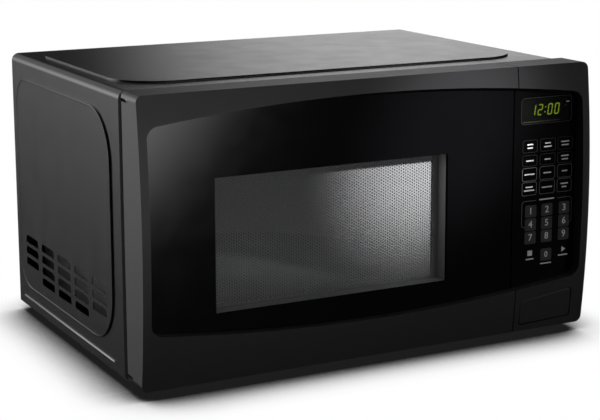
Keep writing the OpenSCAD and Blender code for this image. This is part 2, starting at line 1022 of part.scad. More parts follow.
module glass_tray() {
    flat_r = tray_r - 14;
    color("#bcd2d260")
        union() {
            translate([cav_x, tt_y, tray_z])
                rotate_extrude($fn = 128)
                    polygon([
                        [0, 0], [flat_r, 0], [tray_r, tray_rim - 3], [tray_r, tray_rim],
                        [tray_r - 3, tray_rim], [flat_r - 1, tray_t], [0, tray_t]
                    ]);
            for (k = [0:2])
                translate([cav_x, tt_y, 0])
                    rotate([0, 0, 60 + 120 * k])
                        bar_z([15, 0, tray_z - 4], 4.5, 4 + eps);
        }
}

// ---------- component bay ----------

// A yoke open to the fan, cooling fins round the anode, and the antenna into the waveguide
module magnetron() {
    y1 = mag_y0 + magnetron[1];
    z1 = mag_z0 + magnetron[2];
    mid = [antenna_y, antenna_z];
    color("#c2c4c8")
        union() {
            difference() {
                block([mag_x0, mag_y0, mag_z0], [mag_x1, y1, z1]);
                block([mag_x0 + 2, mag_y0 - 1, mag_z0 + 2], [mag_x1 - 2, y1 + 1, z1 - 2]);
            }
            bar_x([mag_x0 + 1, mid[0], mid[1]], 20, mag_x1 - mag_x0 - 2);
            for (k = [0:4])
                block([mag_x0 + 13 + 7 * k, mag_y0 + 6, mag_z0 + 1], [mag_x0 + 14 + 7 * k, y1 - 6, z1 - 1]);
            bar_x([mag_x0 - 18, mid[0], mid[1]], 8, 20);
        }
}

module filter_box() {
    z0 = mag_z0 + magnetron[2];
    color("#a4a6aa")
        block([mag_x0 + 2, mag_y0 + 12, z0], [mag_x1 - 4, mag_y0 + 78, z0 + 25]);
}

module waveguide() {
    x1 = mag_x0;
    y = guide_y;
    z = guide_z;
    color("#b0b3b7")
        difference() {
            block([bay_x, y[0], z[0]], [x1, y[1], z[1]]);
            block([bay_x - 1, y[0] + sheet, z[0] + sheet], [x1 - sheet, y[1] - sheet, z[1] - sheet]);
            bar_x([x1 - 2, antenna_y, antenna_z], 9, 4);
        }
}

module waveguide_cover() {
    color("#a89a84")
        block([cav_x1 - 0.6, window_y[0] - 8, guide_z[0] + 1], [cav_x1, window_y[1] + 8, guide_z[1] - 1]);
}

module transformer_core() {
    half = trans / 2;
    color("#55575c")
        difference() {
            block([trans_x - half[0], trans_y - half[1], base_z],
                  [trans_x + half[0], trans_y + half[1], base_z + trans[2]]);
            for (side = [-1, 1])
                translate([0, side * 22.5, 0])
                    block([trans_x - half[0] - 1, trans_y - 7.5, base_z + 15],
                          [trans_x + half[0] + 1, trans_y + 7.5, base_z + 60]);
        }
}

module winding(z0, z1, out) {
    gap = 0.3;
    half = trans[0] / 2;
    slab_z(z0, z1)
        translate([trans_x, trans_y])
            difference() {
                rect([-half - out, -30 + gap], [half + out, 30 - gap], [for (i = [0:3]) 8]);
                rect([-half - gap, -15 - gap], [half + gap, 15 + gap]);
            }
}

module transformer_windings() {
    color("#b5692f") {
        winding(base_z + 15.3, base_z + 34, 10);
        winding(base_z + 38, base_z + 59.7, 12);
    }
}

cap_y = trans_y + 80;

module hv_capacitor() {
    color("#b4b6ba")
        union() {
            slab_z(base_z, base_z + 80)
                translate([trans_x - 8, cap_y])
                    stadium([0, 0], 54, 33);
            for (side = [-1, 1])
                block([trans_x - 8 + 12 * side - 3, cap_y - 0.4, base_z + 80 - eps],
                      [trans_x - 8 + 12 * side + 3, cap_y + 0.4, base_z + 88]);
        }
}

module hv_diode() {
    color("#1b1b1b")
        union() {
            block([trans_x + 30, cap_y - 6, base_z], [trans_x + 42, cap_y + 6, base_z + 1.5]);
            bar_z([trans_x + 36, cap_y, base_z], 3.5, 24);
        }
}

module fan_shroud() {
    half = fan_r + 8;
    y0 = fan_y + 10;
    post = fan_r / 2 - 1;
    color("#e2ddd2")
        union() {
            difference() {
                union() {
                    block([bay_x, y0, fan_z - half], [fan_x + half, y0 + 2, fan_z + half]);
                    bar_y([fan_x, fan_y - 2, fan_z], fan_r + 4, 12 + eps);
                }
                bar_y([fan_x, fan_y - 3, fan_z], fan_r + 2, 16);
            }
            for (sx = [-1, 1])
                for (sz = [-1, 1]) {
                    block([fan_x + sx * post - 3, y0, fan_z + sz * post - 3],
                          [fan_x + sx * post + 3, y0 + 10, fan_z + sz * post + 3]);
                    block([min(fan_x + sx * post, fan_x + sx * half), y0, fan_z + sz * post - 2],
                          [max(fan_x + sx * post, fan_x + sx * half), y0 + 2, fan_z + sz * post + 2]);
                }
        }
}

module fan_motor() {
    half = fan_r / 2 + 4;
    y0 = fan_y + 20;
    color("#8e7f5a")
        difference() {
            union() {
                block([fan_x - half, y0, fan_z - half], [fan_x + half, y0 + 14, fan_z + half]);
                bar_y([fan_x, y0 - 3, fan_z], 7, 22);
            }
            bar_y([fan_x, y0 - 4, fan_z], 2.5 + run_fit, 20);
        }
}

module fan_blade() {
    color("#e9e6de")
        union() {
            bar_y([fan_x, fan_y, fan_z], 9, 10);
            bar_y([fan_x, fan_y + 5, fan_z], 2.5, 26);
            for (k = [0:4])
                translate([fan_x, fan_y + 5, fan_z])
                    rotate([0, 72 * k, 0])
                        rotate([28, 0, 0])
                            translate([6, -0.8, -8])
                                cube([fan_r - 8, 1.6, 16]);
        }
}

lamp_y = guide_y[0] - 8;
lamp_z = cav_z1 - 4;

module lamp_holder() {
    color("#ece8de")
        block([bay_x, lamp_y, lamp_z - 10], [bay_x + 22, lamp_y + 8, lamp_z + 10]);
}

module oven_lamp() {
    color("#f4f0dcc0")
        union() {
            bar_y([bay_x + 11, lamp_y - 12, lamp_z], 6, 12);
            translate([bay_x + 11, lamp_y - 16, lamp_z])
                sphere(r = 8);
        }
}

module thermal_cutouts() {
    color("#2a2c30") {
        bar_x([bay_x, y_plate + 53, z_low + 115], 8, 6);
        bar_z([cav_x, tt_y + 43, cav_z1 + sheet], 8, 6);
        bar_x([mag_x1, antenna_y, antenna_z], 8, 6);
    }
}

filter_x = [bay_x + 11, bay_x + 59];
filter_z = [z_low + 45, z_low + 105];

module noise_filter() {
    board = y_panel - 6;
    color("#7a5c2e")
        union() {
            block([filter_x[0], board, filter_z[0]], [filter_x[1], board + 1.6, filter_z[1]]);
            for (x = [filter_x[0] + 5, filter_x[1] - 5])
                for (z = [filter_z[0] + 5, filter_z[1] - 5])
                    bar_y([x, board + 1.6 - eps, z], 2.5, 4.4 + eps);
            bar_y([filter_x[0] + 16, board - 16, filter_z[1] - 20], 12, 16 + eps);
            block([filter_x[0] + 32, board - 12, filter_z[1] - 32], [filter_x[1] - 4, board + eps, filter_z[1] - 8]);
        }
}

module mains_fuse() {
    board = y_panel - 6;
    color("#efe9da")
        union() {
            bar_x([filter_x[0] + 9, board - 4, filter_z[0] + 13], 3.2, 30);
            for (x = [filter_x[0] + 10, filter_x[0] + 32])
                block([x, board - 6, filter_z[0] + 9], [x + 6, board, filter_z[0] + 17]);
        }
}

// The bundle from the control board through the front plate, over the bay and down to the filter
wire_y = fan_y + 30;
wire_points = [
    [wire_x, board_y + board_t, z_low + 100],
    [wire_x, y_plate + 14, z_low + 100],
    [wire_x, y_plate + 14, case_z - 10],
    [wire_x, wire_y, case_z - 10],
    [wire_x, wire_y, z_low + 70],
    [filter_x[1] + wire_r, y_panel - 10, z_low + 70]
];

module wiring_harness() {
    color("#c8c2b4")
        union() {
            for (i = [0:len(wire_points) - 2])
                wire_run(wire_points[i], wire_points[i + 1]);
            for (i = [1:len(wire_points) - 2])
                translate(wire_points[i])
                    sphere(r = wire_r);
        }
}

module wire_run(a, b) {
    d = b - a;
    l = norm(d);
    translate(a)
        rotate([0, acos(d[2] / l), atan2(d[1], d[0])])
            cylinder(r = wire_r, h = l);
}

// ---------- nodes ----------

outer_cabinet();
base_plate();
back_panel();
front_plate();
cavity_wrap();
cavity_floor();
cavity_back();
feet();
case_screws();
cord_gland();
door_frame();
door_glass();
door_screen();
choke_frame();
choke_cover();
inner_window();
latch_hooks();
latch_spring();
hinge_upper();
hinge_lower();
hinge_bushes();
panel_frame();
control_overlay();
display_lens();
keypad_circuit();
control_board();
board_parts();
door_button();
button_spring();
release_lever();
latch_board();
interlock_switches();
plunger(0);  // plunger_1
plunger(1);  // plunger_2
plunger(2);  // plunger_3
turntable_motor();
motor_cover();
turntable_coupler();
roller_ring();
roller(0);  // roller_1
roller(1);  // roller_2
roller(2);  // roller_3
glass_tray();
magnetron();
filter_box();
waveguide();
waveguide_cover();
transformer_core();
transformer_windings();
hv_capacitor();
hv_diode();
fan_shroud();
fan_motor();
fan_blade();
oven_lamp();
lamp_holder();
thermal_cutouts();
noise_filter();
mains_fuse();
wiring_harness();
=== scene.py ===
"""Finishes, fine detail, light and camera for a black countertop microwave oven."""

import json
import math
from contextlib import contextmanager

import bmesh
import bpy
from mathutils import Matrix, Vector


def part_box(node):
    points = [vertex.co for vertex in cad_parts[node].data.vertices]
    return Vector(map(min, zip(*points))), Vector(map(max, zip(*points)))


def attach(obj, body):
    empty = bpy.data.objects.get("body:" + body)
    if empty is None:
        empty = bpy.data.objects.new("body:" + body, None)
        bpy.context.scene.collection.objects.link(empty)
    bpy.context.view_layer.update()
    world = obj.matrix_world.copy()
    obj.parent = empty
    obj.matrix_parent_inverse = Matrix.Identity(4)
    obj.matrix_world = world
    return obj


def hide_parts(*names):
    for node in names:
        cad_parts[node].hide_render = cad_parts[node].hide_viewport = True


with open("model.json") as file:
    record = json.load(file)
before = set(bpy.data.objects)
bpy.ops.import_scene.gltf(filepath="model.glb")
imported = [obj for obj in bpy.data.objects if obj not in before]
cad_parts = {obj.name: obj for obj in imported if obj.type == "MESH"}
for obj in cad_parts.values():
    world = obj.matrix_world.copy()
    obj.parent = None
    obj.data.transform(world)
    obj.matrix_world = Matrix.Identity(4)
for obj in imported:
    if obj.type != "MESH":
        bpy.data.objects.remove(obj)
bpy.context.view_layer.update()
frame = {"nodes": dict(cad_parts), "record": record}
nodes = frame["nodes"]
slot_of = {part["node"]: part["material_slot"] for part in frame["record"]["subparts"]}
MM = 0.001

# Places that several pieces share, in millimetres: the casing's side walls, top and front
# edge, the front and back of the glass, and the clear part of the door glass
CASE_X, CASE_TOP, CASE_FRONT = 222.0, 256.2, -124.0
FACE_Y = -155.5
GLASS_BACK = -152.5
WINDOW_X = (-153.4, 75.5)
WINDOW_Z = (66.0, 183.5)


# ---------- bench work ----------


def take(piece):
    """Makes the piece the only selected one."""
    bpy.ops.object.select_all(action="DESELECT")
    piece.select_set(True)
    bpy.context.view_layer.objects.active = piece


@contextmanager
def bench(piece, mode="FACE"):
    """Opens a piece for editing with nothing selected."""
    take(piece)
    bpy.ops.object.mode_set(mode="EDIT")
    bpy.ops.mesh.select_mode(type=mode)
    bpy.ops.mesh.select_all(action="DESELECT")
    yield
    bpy.ops.object.mode_set(mode="OBJECT")


def mark(piece, kind, test):
    """Selects the open piece's faces, edges or verts that pass a test."""
    mesh = bmesh.from_edit_mesh(piece.data)
    bpy.ops.mesh.select_all(action="DESELECT")
    for part in getattr(mesh, kind):
        if test(part):
            part.select_set(True)
    bmesh.update_edit_mesh(piece.data)


def middle(edge):
    """An edge's middle in millimetres."""
    return (edge.verts[0].co + edge.verts[1].co) / (2 * MM)


def is_sharp(edge, angle=25):
    return len(edge.link_faces) == 2 and edge.calc_face_angle(0) > math.radians(angle)


def fresh(name):
    """Names the new primitive and settles its place into its mesh."""
    piece = bpy.context.object
    piece.name = piece.data.name = name
    take(piece)
    bpy.ops.object.transform_apply(location=True, rotation=True, scale=True)
    return piece


def modify(piece, kind, **values):
    take(piece)
    modifier = piece.modifiers.new(kind.title(), kind)
    for key, value in values.items():
        setattr(modifier, key, value)
    bpy.ops.object.modifier_apply(modifier=modifier.name)


def join(pieces, name):
    take(pieces[0])
    for piece in pieces:
        piece.select_set(True)
    bpy.ops.object.join()
    pieces[0].name = pieces[0].data.name = name
    return pieces[0]


def copied(piece, name, shift):
    """A copy with its own mesh, moved by millimetres."""
    twin = bpy.data.objects.new(name, piece.data.copy())
    bpy.context.collection.objects.link(twin)
    twin.data.transform(Matrix.Translation(Vector(shift) * MM))
    return twin


def smooth(piece, angle=32):
    take(piece)
    bpy.ops.object.shade_smooth_by_angle(angle=math.radians(angle))


def outward(piece):
    with bench(piece):
        bpy.ops.mesh.select_all(action="SELECT")
        bpy.ops.mesh.normals_make_consistent(inside=False)


def block(name, low, high):
    """A cuboid between two corners in millimetres."""
    low, high = Vector(low) * MM, Vector(high) * MM
    bpy.ops.mesh.primitive_cube_add(size=1, location=(low + high) / 2, scale=high - low)
    return fresh(name)


def card(name, x0, x1, z0, z1, y):
    """A flat card facing the front."""
    bpy.ops.mesh.primitive_plane_add(
        size=1,
        location=Vector(((x0 + x1) / 2, y, (z0 + z1) / 2)) * MM,
        rotation=(math.pi / 2, 0, 0),
    )
    bpy.context.object.scale = ((x1 - x0) * MM, (z1 - z0) * MM, 1)
    return fresh(name)


def roll(piece, width, test, segments=3):
    """Rolls the sharp edges that pass a test."""
    with bench(piece, "EDGE"):
        mark(piece, "edges", lambda edge: is_sharp(edge) and test(middle(edge)))
        bpy.ops.mesh.bevel(
            offset=width * MM,
            segments=segments,
            profile=0.5,
            affect="EDGES",
            clamp_overlap=True,
        )


# Points this near to each other become one, in metres, and faces this flat, in degrees
SAME_POINT, SAME_POINT_FINE = 0.00001, 0.000001
SAME_PLANE = 0.2


def remade(node, name, whole_faces=True):
    """A copy of a plain node, merged, with its flat faces whole where they have few holes."""
    piece = bpy.data.objects.new(name, nodes[node].data.copy())
    bpy.context.collection.objects.link(piece)
    take(piece)
    bpy.ops.mesh.customdata_custom_splitnormals_clear()
    with bench(piece, "VERT"):
        bpy.ops.mesh.select_all(action="SELECT")
        bpy.ops.mesh.remove_doubles(threshold=SAME_POINT if whole_faces else SAME_POINT_FINE)
        if whole_faces:
            bpy.ops.mesh.select_all(action="SELECT")
            bpy.ops.mesh.dissolve_limited(angle_limit=math.radians(SAME_PLANE))
    piece.data.materials.clear()
    return piece


def finished(piece, finish_slot, body, *replaced):
    """Gives a piece its finish, its body and the nodes that it stands for."""
    piece.data.materials.clear()
    piece.data.materials.append(finishes[finish_slot])
    if replaced:
        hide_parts(*replaced)
    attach(piece, body)
    return piece


# ---------- finishes ----------


class Wire:
    """A shader socket that takes part in sums and products."""

    def __init__(self, finish, socket):
        self.finish, self.socket = finish, socket

    def _math(self, operation, a, b):
        return self.finish.add("ShaderNodeMath", {"operation": operation}, {0: a, 1: b})

    def __add__(self, other):
        return self._math("ADD", self, other)

    __radd__ = __add__

    def __sub__(self, other):
        return self._math("SUBTRACT", self, other)

    def __rsub__(self, other):
        return self._math("SUBTRACT", other, self)

    def __mul__(self, other):
        return self._math("MULTIPLY", self, other)

    __rmul__ = __mul__

    def ease(self, low, high):
        """0 below low, 1 above high, with a smooth rise; a high under low falls instead."""
        return self.finish.add(
            "ShaderNodeMapRange",
            {"interpolation_type": "SMOOTHSTEP"},
            {"Value": self, "From Min": low, "From Max": high, "To Min": 0.0, "To Max": 1.0},
        )


class Tree:
    """A node tree that is wired in plain expressions."""

    def __init__(self, tree):
        self.tree = tree
        tree.nodes.clear()

    def add(self, kind, settings=None, inputs=None, out=0):
        """One node: its settings first, then the values or links of its sockets."""
        node = self.tree.nodes.new(kind)
        for key, value in (settings or {}).items():
            setattr(node, key, value)
        for key, value in (inputs or {}).items():
            if isinstance(value, Wire):
                self.tree.links.new(value.socket, node.inputs[key])
            else:
                node.inputs[key].default_value = value
        return Wire(self, node.outputs[out])

    def place(self):
        return self.add("ShaderNodeTexCoord", out="Object")

    def along(self, axis):
        """Place along X, Y or Z in millimetres."""
        axes = self.add("ShaderNodeSeparateXYZ", inputs={0: self.place()}, out="XYZ".index(axis))
        return axes * 1000.0

    def grain(self, scale, detail=2.0, stretch=(1, 1, 1)):
        spot = self.add(
            "ShaderNodeMapping",
            {"vector_type": "POINT"},
            {"Vector": self.place(), "Scale": stretch},
        )
        return self.add(
            "ShaderNodeTexNoise",
            inputs={"Vector": spot, "Scale": scale, "Detail": detail},
            out="Fac",
        )

    def tint(self, factor, one, other):
        """A colour between two, by a factor."""
        mix = {0: factor, 6: one, 7: other}
        for key in (6, 7):
            if not isinstance(mix[key], Wire):
                mix[key] = (*mix[key][:3], 1.0)
        return self.add("ShaderNodeMix", {"data_type": "RGBA"}, mix, out=2)


class Finish(Tree):
    """A material of one principled shader."""

    def __init__(self, name, **constants):
        self.material = bpy.data.materials.new(name)
        self.material.use_nodes = True
        super().__init__(self.material.node_tree)
        self.shader = self.tree.nodes.new("ShaderNodeBsdfPrincipled")
        sheet = self.tree.nodes.new("ShaderNodeOutputMaterial")
        self.tree.links.new(self.shader.outputs[0], sheet.inputs[0])
        for key, value in constants.items():
            self.shader.inputs[key.replace("_", " ")].default_value = value

    def feed(self, **wires):
        for key, wire in wires.items():
            self.tree.links.new(wire.socket, self.shader.inputs[key.replace("_", " ")])

    def relief(self, height, depth, strength=0.5):
        """Raises the surface by a height pattern, depth in millimetres."""
        bump = self.add(
            "ShaderNodeBump",
            inputs={"Strength": strength, "Distance": depth * MM, "Height": height},
        )
        self.feed(Normal=bump)


def tone_pair(tone, spread):
    return [c * (1 - spread) for c in tone], [c * (1 + spread) for c in tone]


def coated(name, tone, rough, scale, depth, spread=0.12, **constants):
    """Paint, plastic or rubber: a cloudy tone with a fine grain in gloss and relief."""
    finish = Finish(name, **constants)
    cloud = finish.grain(45.0, 3.0)
    fine = finish.grain(scale, 2.0)
    finish.feed(
        Base_Color=finish.tint(cloud, *tone_pair(tone, spread)),
        Roughness=rough - 0.05 + 0.05 * cloud + 0.05 * fine,
    )
    finish.relief(fine, depth)
    return finish


def metal(name, tone, rough, stretch, scale=700.0, spread=0.2, depth=0.01):
    """Rolled or drawn metal: streaks along the long axis of the stretch."""
    finish = Finish(name, Metallic=1.0)
    streak = finish.grain(scale, 3.0, stretch)
    finish.feed(
        Base_Color=finish.tint(streak, *tone_pair(tone, spread)),
        Roughness=rough - 0.08 + 0.16 * streak,
    )
    finish.relief(streak, depth, 0.3)
    return finish


def stripes(finish, axis, pitch):
    """Bands of 0 to 1 along an axis, pitch in millimetres."""
    phase = finish.along(axis) * (2 * math.pi / pitch)
    wave = finish.add("ShaderNodeMath", {"operation": "SINE"}, {0: phase})
    return 0.5 + 0.5 * wave


def outer_finishes():
    """Paint, mouldings, glass and screen."""
    kit = {}
    kit["case_paint"] = coated(
        "case_paint", (0.0075, 0.0075, 0.0082), 0.25, 2600.0, 0.006, IOR=1.5
    )
    kit["front_plastic"] = coated(
        "front_plastic", (0.0085, 0.0085, 0.009), 0.4, 1800.0, 0.003, IOR=1.5
    )
    # Near black and almost without gloss: the front plate's flange, and also a painted shade for
    # the gap between the door and the casing
    kit["flange_black"] = coated(
        "flange_black", (0.002, 0.002, 0.002), 0.7, 900.0, 0.01, Specular_IOR_Level=0.05
    )
    glass = coated("black_glass", (0.0012, 0.0012, 0.0014), 0.09, 900.0, 0.0003, IOR=1.5)
    x, z = glass.along("X"), glass.along("Z")
    soft = 0.4
    clearness = 0.88
    clear = (
        x.ease(WINDOW_X[0] - soft, WINDOW_X[0] + soft)
        * x.ease(WINDOW_X[1] + soft, WINDOW_X[1] - soft)
        * z.ease(WINDOW_Z[0] - soft, WINDOW_Z[0] + soft)
        * z.ease(WINDOW_Z[1] + soft, WINDOW_Z[1] - soft)
    )
    glass.feed(Alpha=1.0 - clearness * clear)
    kit["black_glass"] = glass
    kit["screen_paint"] = coated(
        "screen_paint", (0.3, 0.3, 0.304), 0.5, 2000.0, 0.004, 0.08, Metallic=0.35
    )
    return kit


def inner_finishes():
    """What shows with the door open or from behind: steel, enamel, rubber and plastic."""
    kit = {}
    kit["zinc_steel"] = metal("zinc_steel", (0.52, 0.53, 0.55), 0.38, (1, 1, 1), 240.0, 0.14)
    enamel = coated("cavity_enamel", (0.5, 0.505, 0.51), 0.3, 700.0, 0.01, 0.05, Coat_Weight=0.3)
    fleck = enamel.grain(1500.0, 1.0).ease(0.66, 0.72)
    cloud = enamel.grain(20.0, 2.0)
    enamel.feed(
        Base_Color=enamel.tint(
            fleck,
            enamel.tint(cloud, (0.47, 0.475, 0.48), (0.53, 0.535, 0.54)),
            (0.22, 0.22, 0.23),
        )
    )
    kit["cavity_enamel"] = enamel
    kit["matte_black"] = coated("matte_black", (0.018, 0.018, 0.019), 0.55, 1500.0, 0.02)
    kit["clear_film"] = coated("clear_film", (0.55, 0.57, 0.57), 0.2, 300.0, 0.004, Alpha=0.18)
    kit["ivory_plastic"] = coated("ivory_plastic", (0.68, 0.65, 0.58), 0.45, 900.0, 0.01, 0.05)
    kit["spring_steel"] = metal("spring_steel", (0.55, 0.55, 0.57), 0.3, (1, 1, 1))
    kit["rubber_black"] = coated("rubber_black", (0.016, 0.016, 0.016), 0.75, 1200.0, 0.04)
    kit["display"] = coated("display", (0.004, 0.005, 0.004), 0.12, 700.0, 0.0004, Alpha=0.55)
    return kit


def working_finishes():
    """The parts that do the work: boards, switches, tray, transformer, lamp and wires."""
    kit = {}
    board = coated("circuit", (0.03, 0.13, 0.06), 0.4, 900.0, 0.006)
    cell = board.add(
        "ShaderNodeTexBrick",
        {"offset": 0.5},
        {
            "Vector": board.place(),
            "Scale": 300.0,
            "Mortar Size": 0.02,
            "Color1": (0.02, 0.12, 0.05, 1),
            "Color2": (0.03, 0.16, 0.07, 1),
            "Mortar": (0.12, 0.3, 0.12, 1),
        },
        out="Color",
    )
    board.feed(Base_Color=cell)
    kit["circuit"] = board
    kit["switch_black"] = coated("switch_black", (0.03, 0.03, 0.035), 0.42, 1400.0, 0.01)
    kit["plunger_red"] = coated("plunger_red", (0.45, 0.045, 0.03), 0.38, 900.0, 0.005)
    tray = coated("tray_glass", (0.72, 0.82, 0.82), 0.1, 260.0, 0.02, 0.04, IOR=1.5)
    rim = tray.add("ShaderNodeLayerWeight", inputs={"Blend": 0.35}, out="Facing")
    tray.feed(Alpha=0.22 + 0.6 * rim)
    kit["tray_glass"] = tray
    mica = coated("mica", (0.4, 0.35, 0.27), 0.3, 500.0, 0.02)
    flake = mica.grain(160.0, 4.0)
    mica.feed(
        Base_Color=mica.tint(flake, (0.24, 0.2, 0.14), (0.55, 0.5, 0.4)),
        Metallic=flake.ease(0.45, 0.7) * 0.4,
    )
    kit["mica"] = mica
    core = coated("core_steel", (0.1, 0.1, 0.11), 0.42, 900.0, 0.01)
    layer = stripes(core, "X", 1.0)
    core.feed(Base_Color=core.tint(layer, (0.05, 0.05, 0.055), (0.17, 0.17, 0.18)))
    core.relief(layer, 0.08)
    kit["core_steel"] = core
    copper = metal("copper", (0.62, 0.26, 0.1), 0.32, (1, 1, 1), 500.0)
    turn = stripes(copper, "Z", 1.2)
    copper.feed(Base_Color=copper.tint(turn, (0.34, 0.12, 0.04), (0.75, 0.34, 0.14)))
    copper.relief(turn, 0.3)
    kit["copper"] = copper
    kit["aluminium"] = metal("aluminium", (0.7, 0.71, 0.72), 0.34, (1, 1, 12))
    bulb = coated("bulb_glass", (0.9, 0.88, 0.8), 0.08, 300.0, 0.002, 0.03)
    edge = bulb.add("ShaderNodeLayerWeight", inputs={"Blend": 0.4}, out="Facing")
    bulb.feed(Alpha=0.25 + 0.6 * edge)
    kit["bulb_glass"] = bulb
    kit["fuse_ceramic"] = coated("fuse_ceramic", (0.78, 0.75, 0.67), 0.5, 800.0, 0.02, 0.05)
    kit["filter_board"] = coated("filter_board", (0.3, 0.19, 0.08), 0.5, 1000.0, 0.02)
    wires = coated("wire_bundle", (0.5, 0.48, 0.43), 0.45, 700.0, 0.02)
    twist = stripes(wires, "Z", 9.0)
    wires.feed(Base_Color=wires.tint(twist.ease(0.72, 0.8), (0.42, 0.4, 0.36), (0.06, 0.06, 0.06)))
    kit["wire_bundle"] = wires
    return kit


def print_finishes():
    """Painted highlight for the side beads, key faces, prints and lit digits, which have no slot in
    the record.
    """
    kit = {}
    # Light metal for the side beads, which are the casing's black paint: a painted highlight along
    # their crest
    kit["bead_highlight_metal"] = metal("bead_highlight_metal", (0.24, 0.24, 0.245), 0.32, (1, 0.05, 1), 900.0, 0.1)
    kit["key_face"] = coated("key_face", (0.019, 0.019, 0.02), 0.32, 1500.0, 0.004)
    kit["key_line"] = coated("key_line", (0.085, 0.085, 0.087), 0.4, 2500.0, 0.002)
    kit["faint_line"] = coated("faint_line", (0.017, 0.017, 0.018), 0.35, 2500.0, 0.002)
    kit["print_white"] = coated("print_white", (0.62, 0.62, 0.625), 0.45, 2500.0, 0.002, 0.05)
    glow = coated("digit_glow", (0.3, 0.36, 0.03), 0.4, 900.0, 0.002, Emission_Strength=1.0)
    spread = glow.grain(500.0, 1.0)
    glow.feed(Emission_Color=glow.tint(spread, (0.5, 0.72, 0.03), (0.66, 0.86, 0.05)))
    kit["digit_glow"] = glow
    kit["digit_unlit"] = coated("digit_unlit", (0.006, 0.008, 0.004), 0.4, 900.0, 0.002)
    return kit


finishes = {
    name: finish.material
    for group in (outer_finishes, inner_finishes, working_finishes, print_finishes)
    for name, finish in group().items()
}
for node, piece in nodes.items():
    for place in piece.material_slots:
        place.material = finishes[slot_of[node]]


# ---------- casing and front ----------


# The face of each side's raised field, and the outline of the rim on it with the radius of each
# corner. At the back the outline reaches 2 mm past the field, which ends at 150.
FIELD_FACE = CASE_X + 1.5
RIM_Y, RIM_Z = (-96.0, 152.0), (30.0, 236.0)
RIM_CORNERS = (
    (RIM_Y[0], RIM_Z[0], 45),
    (RIM_Y[0], RIM_Z[1], 45),
    (RIM_Y[1], RIM_Z[1], 28),
    (RIM_Y[1], RIM_Z[0], 28),
)

# The raised field of the top, taken a little wide, and the part of each side with the vents
TOP_REACH_X, TOP_REACH_Y = 206, (-92, 143)
VENTS_Y, VENTS_Z = (-84, 138), (38, 86)

# The vent slots of each side: the middle of the first, and the steps between them
VENT_START_Y, VENT_START_Z = -64.0, 46.0
VENT_STEP_Y, VENT_STEP_Z = 45.5, 11.0
VENT_COLUMNS, VENT_ROWS = 5, 4


def within(value, span):
    return span[0] < value < span[1]


def pressed_cabinet():
    """The painted wrap, with rolled rims round its pressed fields."""
    piece = remade("outer_cabinet", "cabinet_wrap", whole_faces=False)

    def on_rim(p):
        on_side = abs(p.x) > CASE_X - 0.05 and 25 < p.z < 240 and -98 < p.y < 152
        on_top = p.z > CASE_TOP - 0.05 and abs(p.x) < TOP_REACH_X and within(p.y, TOP_REACH_Y)
        by_vents = within(p.z, VENTS_Z) and within(p.y, VENTS_Y)
        return on_top or (on_side and not by_vents)

    roll(piece, 0.6, on_rim)
    smooth(piece, 40)
    modify(piece, "WEIGHTED_NORMAL", keep_sharp=True)
    return finished(piece, "case_paint", "root", "outer_cabinet")


def flange_band():
    """The black flange of the front plate, turned round the casing's front edge. It is made near
    black and dull so that it also stands for the shade in the gap between door and casing: painted
    shade.
    """
    proud, depth, foot = 0.35, 6.4, 10.0
    side, top = CASE_X + proud, CASE_TOP + proud
    piece = block("flange_band", (-side, CASE_FRONT, foot), (side, CASE_FRONT + depth, top))
    with bench(piece, "EDGE"):
        mark(piece, "edges", lambda e: middle(e).z > top - 1 and abs(middle(e).x) > side - 1)
        bpy.ops.mesh.bevel(offset=7.2 * MM, segments=8, affect="EDGES")
        bpy.ops.mesh.select_mode(type="FACE")
        mark(piece, "faces", lambda f: abs(f.normal.y) > 0.9 or f.normal.z < -0.9)
        bpy.ops.mesh.delete(type="FACE")
    modify(piece, "SOLIDIFY", thickness=1.2 * MM, offset=-1)
    outward(piece)
    smooth(piece, 30)
    return finished(piece, "flange_black", "root")


def vent_hoods():
    """Louvre hoods behind the slots: one is modelled, the others are its copies."""
    length, reach, sag = 33.0, 4.6, (0.2, 0.5, 0.9, 1.4, 2.0)
    half_wall, foot, top = 0.3, 3.1, 3.7
    hoods = []
    for side in (-1, 1):
        start = side * (CASE_X + 0.4)
        low = (start - half_wall, -length / 2, foot)
        high = (start + half_wall, length / 2, top)
        hood = block("hood", low, high)
        with bench(hood):
            mark(hood, "faces", lambda f: f.normal.x * side < -0.9)
            for drop in sag:
                bpy.ops.mesh.extrude_region_move(
                    TRANSFORM_OT_translate={
                        "value": (-side * reach / len(sag) * MM, 0, -drop / 2 * MM)
                    }
                )
        outward(hood)
        smooth(hood, 50)
        for column in range(VENT_COLUMNS):
            for row in range(VENT_ROWS):
                if row or 0 < column < VENT_COLUMNS - 1:
                    y = VENT_START_Y + VENT_STEP_Y * column
                    z = VENT_START_Z + VENT_STEP_Z * row
                    hoods.append(copied(hood, "hood", (0, y, z)))
        bpy.data.objects.remove(hood)
    return finished(join(hoods, "vent_hoods"), "case_paint", "root")


# Edges in front of this are the rims of the mouldings, and those behind the door's back face
# and away from its middle height are its back rims, in millimetres
RIM_FRONT = -157.5
DOOR_BACK, DOOR_MIDDLE, DOOR_REACH = -127, 133.5, 100


def door_bezel():
    piece = remade("door_frame", "door_bezel")
    roll(piece, 1.1, lambda p: p.y < RIM_FRONT, 4)
    roll(piece, 0.4, lambda p: p.y > DOOR_BACK and abs(p.z - DOOR_MIDDLE) > DOOR_REACH, 2)
    smooth(piece, 40)
    modify(piece, "WEIGHTED_NORMAL", keep_sharp=True)
    return finished(piece, "front_plastic", "door", "door_frame")


def panel_bezel():
    piece = remade("panel_frame", "panel_bezel")
    roll(piece, 1.1, lambda p: p.y < RIM_FRONT, 4)
    smooth(piece, 40)
    modify(piece, "WEIGHTED_NORMAL", keep_sharp=True)
    return finished(piece, "front_plastic", "root", "panel_frame")


def pane(node, name, finish_slot, body):
    piece = remade(node, name)
    roll(piece, 0.35, lambda p: p.y < FACE_Y + 0.2, 2)
    smooth(piece, 40)
    modify(piece, "WEIGHTED_NORMAL", keep_sharp=True)
    return finished(piece, finish_slot, body, node)


BUTTON_RIM = -160


